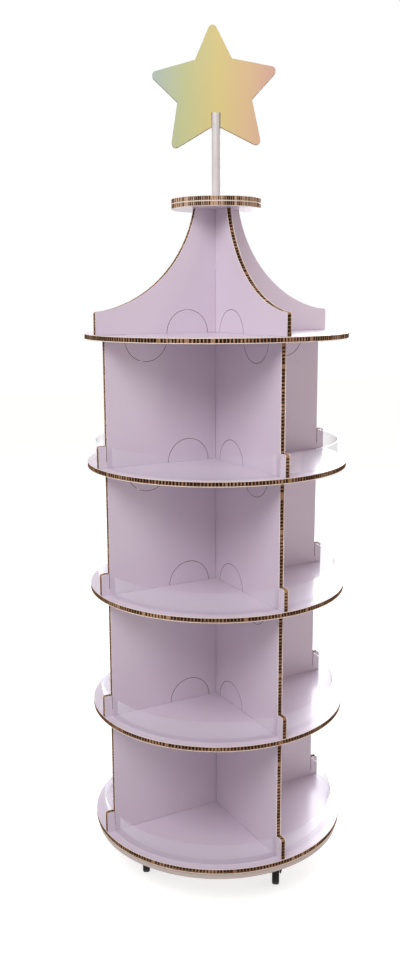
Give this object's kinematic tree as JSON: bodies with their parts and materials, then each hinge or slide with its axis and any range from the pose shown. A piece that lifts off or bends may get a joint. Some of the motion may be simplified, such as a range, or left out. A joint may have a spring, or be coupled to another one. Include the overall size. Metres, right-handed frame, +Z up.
{
  "type": "cardboard display stand",
  "caption": "Round tiered display stand of slotted corrugated board, with crossed dividers, clear lips, a concave gable, a star sign on a pole and swivel castors.",
  "frame": {"origin": "on the floor under the pole, at the middle of the four castors", "axes": "+Z up; the crossed dividers lie along X and Y; the picture looks from between -X and -Y, 29.5 degrees round from -Y"},
  "size_m": [0.4999, 0.5, 1.6062],
  "materials": {
    "board": "pale lilac printed liner with a smooth satin coat, brown fluted core on every cut edge",
    "plinth": "pale plain timber board",
    "clear_lip": "clear flexible sheet",
    "pole": "off-white tube",
    "star_print": "printed with a soft pastel blend from yellow to pink and grey green",
    "castor_metal": "black coated steel",
    "castor_black": "black moulded nylon",
    "castor_tread": "black"
  },
  "bodies": {
    "stand": {"base_disc": "board", "shelf_1": "board", "shelf_2": "board", "shelf_3": "board", "shelf_4": "board", "tier_1_divider_x": "board", "tier_1_divider_y": "board", "tier_2_divider_x": "board", "tier_2_divider_y": "board", "tier_3_divider_x": "board", "tier_3_divider_y": "board", "tier_4_divider_x": "board", "tier_4_divider_y": "board", "skirt_panel_x": "board", "skirt_panel_y": "board", "cap_lower_disc": "board", "cap_upper_disc": "board", "timber_plinth": "plinth", "tier_1_lip": "clear_lip", "tier_2_lip": "clear_lip", "tier_3_lip": "clear_lip", "tier_4_lip": "clear_lip", "sign_pole": "pole", "star_board": "star_print", "castor_plate_front_right": "castor_metal", "castor_plate_front_left": "castor_metal", "castor_plate_back_left": "castor_metal", "castor_plate_back_right": "castor_metal"},
    "swivel_front_right": {"castor_fork_front_right": "castor_black", "castor_axle_front_right": "castor_metal"},
    "wheel_front_right": {"castor_wheel_front_right": "castor_tread"},
    "swivel_front_left": {"castor_fork_front_left": "castor_black", "castor_axle_front_left": "castor_metal"},
    "wheel_front_left": {"castor_wheel_front_left": "castor_tread"},
    "swivel_back_left": {"castor_fork_back_left": "castor_black", "castor_axle_back_left": "castor_metal"},
    "wheel_back_left": {"castor_wheel_back_left": "castor_tread"},
    "swivel_back_right": {"castor_fork_back_right": "castor_black", "castor_axle_back_right": "castor_metal"},
    "wheel_back_right": {"castor_wheel_back_right": "castor_tread"}
  },
  "joints": [
    {"name": "swivel_front_right", "type": "hinge", "parent": "stand", "child": "swivel_front_right", "pos_m": [0.038, -0.167, 0.0622], "axis": [0, 0, 1], "continuous": true},
    {"name": "wheel_front_right", "type": "hinge", "parent": "swivel_front_right", "child": "wheel_front_right", "pos_m": [0.02592, -0.18539, 0.025], "axis": [0.8358, -0.549, 0], "continuous": true},
    {"name": "swivel_front_left", "type": "hinge", "parent": "stand", "child": "swivel_front_left", "pos_m": [-0.1865, -0.0458, 0.0622], "axis": [0, 0, 1], "continuous": true},
    {"name": "wheel_front_left", "type": "hinge", "parent": "swivel_front_left", "child": "wheel_front_left", "pos_m": [-0.17713, -0.02589, 0.025], "axis": [-0.9048, 0.4258, 0], "continuous": true},
    {"name": "swivel_back_left", "type": "hinge", "parent": "stand", "child": "swivel_back_left", "pos_m": [-0.038, 0.167, 0.0622], "axis": [0, 0, 1], "continuous": true},
    {"name": "wheel_back_left", "type": "hinge", "parent": "swivel_back_left", "child": "wheel_back_left", "pos_m": [-0.05485, 0.15286, 0.025], "axis": [0.6428, -0.766, 0], "continuous": true},
    {"name": "swivel_back_right", "type": "hinge", "parent": "stand", "child": "swivel_back_right", "pos_m": [0.1865, 0.0458, 0.0622], "axis": [0, 0, 1], "continuous": true},
    {"name": "wheel_back_right", "type": "hinge", "parent": "swivel_back_right", "child": "wheel_back_right", "pos_m": [0.1975, 0.02675, 0.025], "axis": [0.866, 0.5, 0], "continuous": true}
  ]
}
